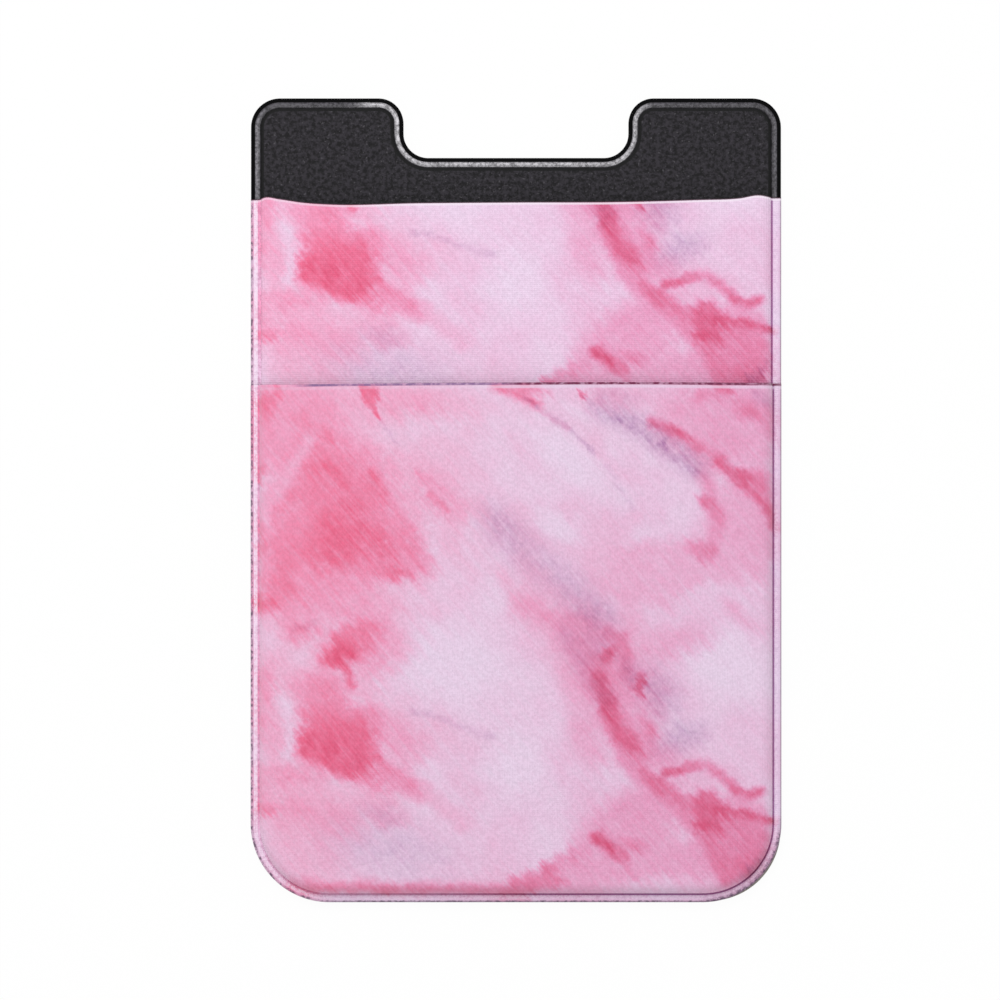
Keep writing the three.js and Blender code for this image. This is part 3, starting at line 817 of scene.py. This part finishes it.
def leatherette_material():
    """Black leather-look board: matte grain with light flecks that are partly painted glints, a glossy
    pressed channel with a painted highlight, a dark lip, and painted shade at the channel's inner wall.
    """
    material, tree, shader, place = new_material("black_leatherette")
    inset = attribute(tree, "inset")
    split = add(tree, "ShaderNodeSeparateXYZ", {0: place}).outputs
    across, up = split[0], split[1]

    grain = noise(tree, place, 1.9, 4.0, 0.7)[0]
    colour = blend(tree, 1.0, BLACK_FIELD, ramp(tree, grain, 0.4, 0.6, 0.45, 2.7), "MULTIPLY")
    # light flecks: partly the board's own speckle, partly painted glints
    flecks_and_glints = ramp(tree, noise(tree, place, 2.8, 2.0, 0.6)[0], 0.6, 0.74, 0.0, 0.65)
    colour = blend(tree, flecks_and_glints, colour, FLECK_AND_GLINT)

    # the glossy channel's reflection painted as grey: lighter at the left edge, brightest in the notch
    # and at the channel's outer part, and unevenly speckled
    in_notch = calc(tree, "MULTIPLY", band(tree, across, -17.0, 14.0, 3.0), ramp(tree, up, 38.0, 41.0))
    brightness_share = ramp(tree, noise(tree, place, 2.8, 3.0, 0.7)[0], 0.35, 0.65, 0.45, 1.35)
    painted_sheen = blend(tree, ramp(tree, across, -31.5, -30.0, 1.0, 0.0), CHANNEL_HIGHLIGHT, CHANNEL_LEFT_HIGHLIGHT)
    painted_sheen = blend(tree, in_notch, painted_sheen, NOTCH_HIGHLIGHT)
    painted_sheen = blend(tree, 1.0, painted_sheen, brightness_share, "MULTIPLY")
    lit = ramp(tree, inset, 0.7, 0.9, 1.25, 0.75)
    painted_sheen = blend(tree, 1.0, painted_sheen, lit, "MULTIPLY")
    colour = blend(tree, band(tree, inset, 0.56, 1.0, 0.1), colour, painted_sheen)
    colour = blend(tree, ramp(tree, inset, 0.45, 0.53, 1.0, 0.0), colour, LIP_BLACK_AND_WALL_SHADE)
    # painted shade at the channel's inner wall
    colour = blend(tree, band(tree, inset, 1.24, 1.5, 0.12), colour, LIP_BLACK_AND_WALL_SHADE)
    tree.links.new(colour, shader.inputs["Base Color"])
    glossy = band(tree, inset, 0.56, 1.1, 0.1)
    tree.links.new(ramp(tree, glossy, 0.0, 1.0, 0.7, 0.36), shader.inputs["Roughness"])
    tree.links.new(ramp(tree, inset, 0.4, 0.6, 0.05, 0.25), shader.inputs["Specular IOR Level"])
    tree.links.new(bump(tree, grain, 0.12), shader.inputs["Normal"])
    return material


def paper_material():
    """The liner's coated paper, faintly cloudy."""
    material, tree, shader, place = new_material("liner_paper")
    cloud = ramp(tree, noise(tree, place, 0.5, 4.0, 0.6)[0], 0.3, 0.7, 0.94, 1.05)
    tree.links.new(blend(tree, 1.0, PAPER, cloud, "MULTIPLY"), shader.inputs["Base Color"])
    shader.inputs["Roughness"].default_value = 0.5
    fibre = noise(tree, place, 6.0, 4.0, 0.7)[0]
    tree.links.new(bump(tree, fibre, 0.01), shader.inputs["Normal"])
    return material


def glue_material():
    """The pale adhesive between the panel and the liner."""
    material, tree, shader, place = new_material("adhesive")
    cloud = ramp(tree, noise(tree, place, 1.5, 3.0, 0.6)[0], 0.3, 0.7, 0.85, 1.1)
    tree.links.new(blend(tree, 1.0, GLUE, cloud, "MULTIPLY"), shader.inputs["Base Color"])
    shader.inputs["Roughness"].default_value = 0.35
    return material


# The pieces


def back_panel():
    """The panel, with a rounded edge and the weld channel pressed round its bare top."""
    # insets, heights over the face, and the heights that the channel adds where it is bare
    section = [
        (0.0, PANEL_BACK - PANEL_FACE, 0), (0.0, -0.14, 0), (0.02, -0.07, 0), (0.07, -0.02, 0),
        (0.14, 0.0, 0), (0.34, 0.0, 0), (0.48, 0.0, -0.01), (0.54, 0.0, -0.06), (0.6, 0.0, -0.14),
        (0.68, 0.0, -0.19), (0.8, 0.0, -0.2), (0.95, 0.0, -0.2), (1.08, 0.0, -0.19),
        (1.18, 0.0, -0.12), (1.26, 0.0, -0.03), (1.36, 0.0, 0.01), (1.6, 0.0, 0.02), (2.0, 0.0, 0.0),
    ]
    mouth_y = REAR_MOUTH[0][1]
    rings, insets = [], []
    for inset, height, pressed in section:
        ring = holder_ring(inset)
        depth = pressed * smooth(ring[:, 1], mouth_y - 0.8, mouth_y - 0.2)
        rings.append(np.column_stack([ring, PANEL_FACE + height + depth]))
        insets.append(np.full(len(ring), inset))
    count = len(rings[0])
    faces = ring_faces(len(rings), count)
    last = (len(rings) - 1) * count
    faces.append(tuple(range(last, last + count)))
    faces.append(tuple(reversed(range(count))))
    return make_piece(
        "panel", "back_panel", "black_leatherette", np.vstack(rings), faces,
        leatherette_material(), inset=np.concatenate(insets),
    )


def backing_sheet(name, node, slot, low, high, material):
    """A thin sheet over the whole back, squarer than the fabric at the lower right."""
    ring = holder_ring(0.0, BACKING_CORNER)
    count = len(ring)
    points = np.vstack([np.column_stack([ring, np.full(count, z)]) for z in (low, high)])
    faces = ring_faces(2, count)
    faces.append(tuple(range(count, 2 * count)))
    faces.append(tuple(reversed(range(count))))
    return make_piece(name, node, slot, points, faces, material)


def mouth_curve(points):
    """A smooth curve through a mouth's points, as a function of X."""
    xs, ys = np.array(points).T
    slopes = np.gradient(ys, xs)

    def height(x):
        x = np.clip(np.asarray(x, float), xs[0], xs[-1])
        i = np.clip(np.searchsorted(xs, x, side="right") - 1, 0, len(xs) - 2)
        span = xs[i + 1] - xs[i]
        t = (x - xs[i]) / span
        return (
            (2 * t**3 - 3 * t**2 + 1) * ys[i] + (t**3 - 2 * t**2 + t) * span * slopes[i]
            + (3 * t**2 - 2 * t**3) * ys[i + 1] + (t**3 - t**2) * span * slopes[i + 1]
        )

    return height


def side_shares(mouth_height):
    """Shares of a pocket's side, from its mouth to its corner, closer at the mouth."""
    length = mouth_height - BOTTOM - BOTTOM_CORNER
    start = NEAR_MOUTH[-1]
    rest = np.linspace(start, length, round((length - start) / STRAIGHT_STEP) + 1)[1:]
    return np.concatenate([NEAR_MOUTH, rest]) / length


def pocket_path(inset, mouth, shares):
    """A pocket's U at an inset, from its mouth's left end round to its right end."""
    side = WIDTH / 2 - inset
    corner_y = BOTTOM + BOTTOM_CORNER
    corner_x = WIDTH / 2 - BOTTOM_CORNER
    radius = BOTTOM_CORNER - inset
    bottom = np.linspace(-corner_x, corner_x, round(2 * corner_x / STRAIGHT_STEP) + 1)[1:-1]
    left = mouth(-side) + (corner_y - mouth(-side)) * shares[:-1]
    right = mouth(side) + (corner_y - mouth(side)) * shares[:-1]
    return np.vstack([
        np.column_stack([np.full(len(left), -side), left]),
        arc(-corner_x, corner_y, radius, 180, 270, ARC_STEPS),
        np.column_stack([bottom, np.full(len(bottom), BOTTOM + inset)]),
        arc(corner_x, corner_y, radius, 270, 360, ARC_STEPS),
        np.column_stack([np.full(len(right), side), right])[::-1],
    ])


def coons_patch(path, rows, mouth):
    """The grid inside a pocket's U: rows from the mouth down, each from left to right."""
    left = path[: rows + 1]
    bottom = path[rows : len(path) - rows]
    right = path[len(path) - rows - 1 :][::-1]
    reach = left[0, 0] / bottom[0, 0]
    top_x = bottom[:, 0] * reach
    top = np.column_stack([top_x, mouth(top_x)])
    u = ((top_x - top_x[0]) / (top_x[-1] - top_x[0]))[None, :, None]
    steps = np.linalg.norm(np.diff(left, axis=0), axis=1)
    v = (np.concatenate([[0], np.cumsum(steps)]) / steps.sum())[:, None, None]
    across = (1 - u) * left[:, None] + u * right[:, None]
    down = (1 - v) * top[None] + v * bottom[None]
    top_line = (1 - u) * top[0] + u * top[-1]
    bottom_line = (1 - u) * bottom[0] + u * bottom[-1]
    corners = (1 - v) * top_line + v * bottom_line
    return across + down - corners


def quarter_shoulder(foot, base, plateau, face):
    """Insets and heights up a rim's shoulder, upright at its foot and level at its top."""
    turns = np.linspace(0, math.pi / 2, SHOULDER_STEPS + 1)
    insets = foot + (plateau - foot) * (1 - np.cos(turns))
    heights = base + (face - base) * np.sin(turns)
    return list(zip(insets, heights))


def pocket_sections(base, face, rim):
    """The rings over a pocket and under it, each an inset and a height."""
    rim_face = base + PRESSED
    inner = rim + SHOULDER_WALL
    roof = face - FABRIC
    over = [(inset, rim_face + height) for inset, height in CREST]
    over += [(rim + inset, rim_face + height) for inset, height in GROOVE]
    under = [(share * inner, base) for share in np.linspace(0, 1, len(over))]
    over += quarter_shoulder(rim, rim_face, PLATEAU, face)
    under += quarter_shoulder(inner, base, PLATEAU + SHOULDER_WALL, roof)
    return over + [(PATCH_INSET, face)], under + [(PATCH_INSET, roof)]


def pocket_side(section, mouth, shares):
    """One side's points and insets: its rings, then the grid that fills them."""
    points, insets = [], []
    for inset, height in section:
        path = pocket_path(inset, mouth, shares)
        points.append(np.column_stack([path, np.full(len(path), height)]))
        insets.append(np.full(len(path), inset))
    grid = coons_patch(path, len(shares) - 1 + ARC_STEPS // 2, mouth)
    sheet = grid.reshape(-1, 2)
    points.append(np.column_stack([sheet, np.full(len(sheet), height)]))
    insets.append(np.full(len(sheet), PATCH_INSET + 1))
    return np.vstack(points), np.concatenate(insets), len(path), grid.shape[:2]


def pocket_faces(rings, count, height, width):
    """A pocket's faces: its upper side, the same turned over below, and the edge round both."""
    start = rings * count
    side = ring_faces(rings, count, closed=False)
    for corner in (start + j * width + i for j in range(height - 1) for i in range(width - 1)):
        side.append((corner, corner + width, corner + width + 1, corner + 1))
    side.extend(seam_faces(rings, count, width, height))
    half = start + height * width
    faces = side + [tuple(half + v for v in reversed(face)) for face in side]
    loop = boundary(rings, count, width)
    for here, following in zip(loop, loop[1:] + loop[:1]):
        faces.append((here, half + here, half + following, following))
    return faces


def pocket(name, node, slot, base, face, rim, mouth_points, material):
    """One pocket: a closed sheet with a pressed rim, a shoulder and an open, cut mouth."""
    mouth = mouth_curve(mouth_points)
    shares = side_shares(mouth_points[0][1])
    over, under = pocket_sections(base, face, rim)
    upper, upper_insets, count, (height, width) = pocket_side(over, mouth, shares)
    lower, lower_insets = pocket_side(under, mouth, shares)[:2]
    points = np.vstack([upper, lower])
    insets = np.concatenate([upper_insets, lower_insets])
    outside = np.arange(len(points)) < len(upper)

    # the cut mouth is rounded off, and the cloth is slightly uneven
    below = mouth(points[:, 0]) - points[:, 1]
    turned = 1 - np.sqrt(1 - np.clip(1 - below / MOUTH_ROUND, 0, 1) ** 2)
    drop = MOUTH_DROP * turned * np.clip(smooth(insets, rim, PLATEAU), RIM_SHARE, 1)
    points[outside, 2] -= drop[outside]
    points[:, 2] += ripple(points[:, 0], points[:, 1]) * smooth(insets, rim, PATCH_INSET + 0.5)

    # the distance below the mouth, or -1 on the inside, which isn't printed
    mouths = np.where(outside, below, -1.0)
    faces = pocket_faces(len(over), count, height, width)
    return make_piece(name, node, slot, points, faces, material, inset=insets, mouth=mouths)


def ripple(x, y):
    """The cloth's faint unevenness."""
    return 0.03 * (np.sin(x / 7.1 + 0.6) * np.sin(y / 9.3 + 1.1) + 0.6 * np.sin(x / 3.7 - y / 5.9))


def seam_faces(rings, count, width, height):
    """The quads that join a pocket's last ring to its grid."""
    start = rings * count
    last = (rings - 1) * count
    edge = [start + j * width for j in range(height)]
    edge += [start + (height - 1) * width + i for i in range(1, width)]
    edge += [start + j * width + width - 1 for j in range(height - 2, -1, -1)]
    return [(last + i, last + i + 1, edge[i + 1], edge[i]) for i in range(count - 1)]


def boundary(rings, count, width):
    """The loop round a pocket's sheet: its outer ring, then its mouth from right to left."""
    start = rings * count
    loop = list(range(count))
    loop += [ring * count + count - 1 for ring in range(1, rings)]
    loop += [start + i for i in range(width - 1, -1, -1)]
    loop += [ring * count for ring in range(rings - 1, 0, -1)]
    return loop


# The stage

WORLD_LIGHT = 0.68
KEY_POWER = 1.85
KEY_PLACE = (-110, 310, 540)
KEY_SIZE = 300

# The floor's share of plain white where it is seen, its size in metres, and its depth below.
FLOOR_WHITE = 0.96
FLOOR_SIZE = 6
FLOOR_DEPTH = 0.02

# The photograph's width and scale in pixels, and the column that the holder's middle is in.
PHOTO_WIDTH = 1000
PHOTO_SCALE = 8.283
MIDDLE_COLUMN = 516
LENS = 120
SENSOR = 36


def floor():
    """A white floor that keeps only a trace of the holder's shadow."""
    material = bpy.data.materials.new("white_floor")
    material.use_nodes = True
    tree = material.node_tree
    tree.nodes.clear()
    plain = add(tree, "ShaderNodeBsdfDiffuse", {"Color": (0.9, 0.9, 0.9, 1.0)}).outputs[0]
    white = add(tree, "ShaderNodeEmission", {"Strength": 1.0}).outputs[0]
    rays = add(tree, "ShaderNodeLightPath").outputs
    seen = calc(tree, "MAXIMUM", rays["Is Camera Ray"], rays["Is Glossy Ray"])
    seen = calc(tree, "MAXIMUM", seen, rays["Is Transmission Ray"])
    share = calc(tree, "MULTIPLY", seen, FLOOR_WHITE)
    surface = add(tree, "ShaderNodeMixShader", {0: share, 1: plain, 2: white}).outputs[0]
    out = add(tree, "ShaderNodeOutputMaterial")
    tree.links.new(surface, out.inputs[0])
    bpy.ops.mesh.primitive_plane_add(size=FLOOR_SIZE, location=(0, 0, -FLOOR_DEPTH * MM))
    plane = bpy.context.object
    plane.name = "floor"
    plane.data.materials.append(material)


def area_light(name, place, size, power):
    """A soft lamp aimed at the holder; its place and size are in millimetres."""
    light = bpy.data.lights.new(name, "AREA")
    light.shape = "DISK"
    light.size = size * MM
    light.energy = power
    lamp = bpy.data.objects.new(name, light)
    lamp.location = Vector(place) * MM
    lamp.rotation_euler = (-lamp.location).to_track_quat("-Z", "Y").to_euler()
    bpy.context.scene.collection.objects.link(lamp)


def studio():
    """A plain white world, seen as white, with a soft key lamp from the upper left."""
    world = bpy.data.worlds.new("studio")
    bpy.context.scene.world = world
    world.use_nodes = True
    tree = world.node_tree
    rays = add(tree, "ShaderNodeLightPath").outputs
    strength = ramp(tree, rays["Is Camera Ray"], 0.0, 1.0, WORLD_LIGHT, 1.0)
    back = tree.nodes["Background"]
    back.inputs[0].default_value = (1, 1, 1, 1)
    tree.links.new(strength, back.inputs[1])
    area_light("key", KEY_PLACE, KEY_SIZE, KEY_POWER)


def camera():
    """A long lens straight above the holder, framed as the photograph is."""
    data = bpy.data.cameras.new("camera")
    data.lens = LENS
    data.sensor_width = SENSOR
    data.clip_start = 0.01
    data.clip_end = 10
    aside = (PHOTO_WIDTH / 2 - MIDDLE_COLUMN) / PHOTO_SCALE
    height = PHOTO_WIDTH / PHOTO_SCALE * LENS / SENSOR + PANEL_FACE
    eye = bpy.data.objects.new("camera", data)
    eye.location = (aside * MM, 0, height * MM)
    bpy.context.scene.collection.objects.link(eye)
    bpy.context.scene.camera = eye


camera()
studio()
floor()
bpy.context.scene.view_settings.view_transform = "Standard"

backing_sheet("liner", "release_liner", "liner_paper", LINER_BACK, LINER_FACE, paper_material())
backing_sheet("glue", "adhesive_sheet", "adhesive", ADHESIVE_BACK, ADHESIVE_FACE, glue_material())
back_panel()
marbled = node_group("marbled_print", {"Place": "Vector"}, "Color", marble)
# The rear copy of the print is painted lighter than the front one, standing in for light.
rear = pocket(
    "rear_sleeve", "rear_pocket", "rear_print", REAR_BASE, REAR_FACE, REAR_RIM, REAR_MOUTH,
    print_material("rear_print", marbled, 1, 1.015, REAR_RIM, rear_edge),
)
front = pocket(
    "front_sleeve", "front_pocket", "front_print", FRONT_BASE, FRONT_FACE, FRONT_RIM, FRONT_MOUTH,
    print_material("front_print", marbled, 0, 0.975, FRONT_RIM, front_edge),
)
